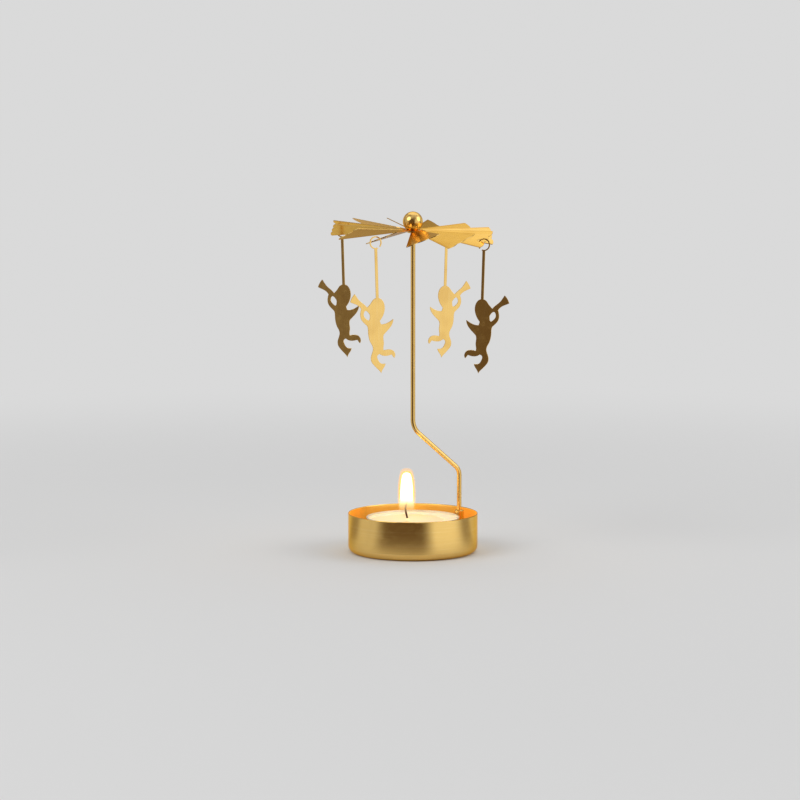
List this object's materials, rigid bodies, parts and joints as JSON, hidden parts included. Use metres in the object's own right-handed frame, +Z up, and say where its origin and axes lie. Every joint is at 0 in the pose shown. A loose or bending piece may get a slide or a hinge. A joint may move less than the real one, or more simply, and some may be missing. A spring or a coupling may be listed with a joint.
{
  "type": "angel chime carousel",
  "caption": "Brass tealight carousel: a dish with a bent wire post, and a pitched scalloped fan wheel that turns on the post's needle and carries hanging cherub pendants.",
  "frame": {"origin": "centre of the dish's flat underside", "axes": "+Z up along the needle's axis, -Y the front of the display, +X to the right"},
  "size_m": [0.0822, 0.0698, 0.1473],
  "materials": {
    "dish_brass": "drawn and polished, lightly brushed floor",
    "wire_brass": "drawn wire, satin",
    "sheet_brass": "bright stamped sheet",
    "turned_brass": "polished",
    "cup_foil": "thin drawn aluminium",
    "wax": "candle wax, softly glossy and translucent",
    "sustainer_tin": "tinned sheet",
    "wick_cotton": "burnt cotton"
  },
  "bodies": {
    "stand": {"base_dish": "dish_brass", "post_socket": "dish_brass", "post": "wire_brass"},
    "rotor": {"fan_wheel": "sheet_brass", "ball_knob": "turned_brass", "bearing_cup": "turned_brass", "hub_washer": "turned_brass"},
    "cherub_back_right": {"cherub_back_right": "sheet_brass"},
    "cherub_back_left": {"cherub_back_left": "sheet_brass"},
    "cherub_front_left": {"cherub_front_left": "sheet_brass"},
    "cherub_front_right": {"cherub_front_right": "sheet_brass"},
    "tealight": {"tealight_cup": "cup_foil", "tealight_wax": "wax", "wick_sustainer": "sustainer_tin", "wick": "wick_cotton"}
  },
  "joints": [
    {"name": "rotor_spin", "type": "hinge", "parent": "stand", "child": "rotor", "pos_m": [0, 0, 0.1448], "axis": [0, 0, 1], "continuous": true},
    {"name": "cherub_back_right_swing", "type": "hinge", "parent": "rotor", "child": "cherub_back_right", "pos_m": [0.015, 0.03022, 0.13663], "axis": [-0.3827, 0.9239, 0], "range_deg": [-30, 30]},
    {"name": "cherub_back_left_swing", "type": "hinge", "parent": "rotor", "child": "cherub_back_left", "pos_m": [-0.03078, 0.01529, 0.13821], "axis": [-0.3827, -0.9239, 0], "range_deg": [-30, 30]},
    {"name": "cherub_front_left_swing", "type": "hinge", "parent": "rotor", "child": "cherub_front_left", "pos_m": [-0.01577, -0.02953, 0.13541], "axis": [0.3827, -0.9239, 0], "range_deg": [-30, 30]},
    {"name": "cherub_front_right_swing", "type": "hinge", "parent": "rotor", "child": "cherub_front_right", "pos_m": [0.03002, -0.0146, 0.13383], "axis": [0.3827, 0.9239, 0], "range_deg": [-30, 30]},
    {"name": "tealight_lift", "type": "slide", "parent": "stand", "child": "tealight", "axis": [0, 0, 1], "range_m": [0, 0.017]}
  ]
}
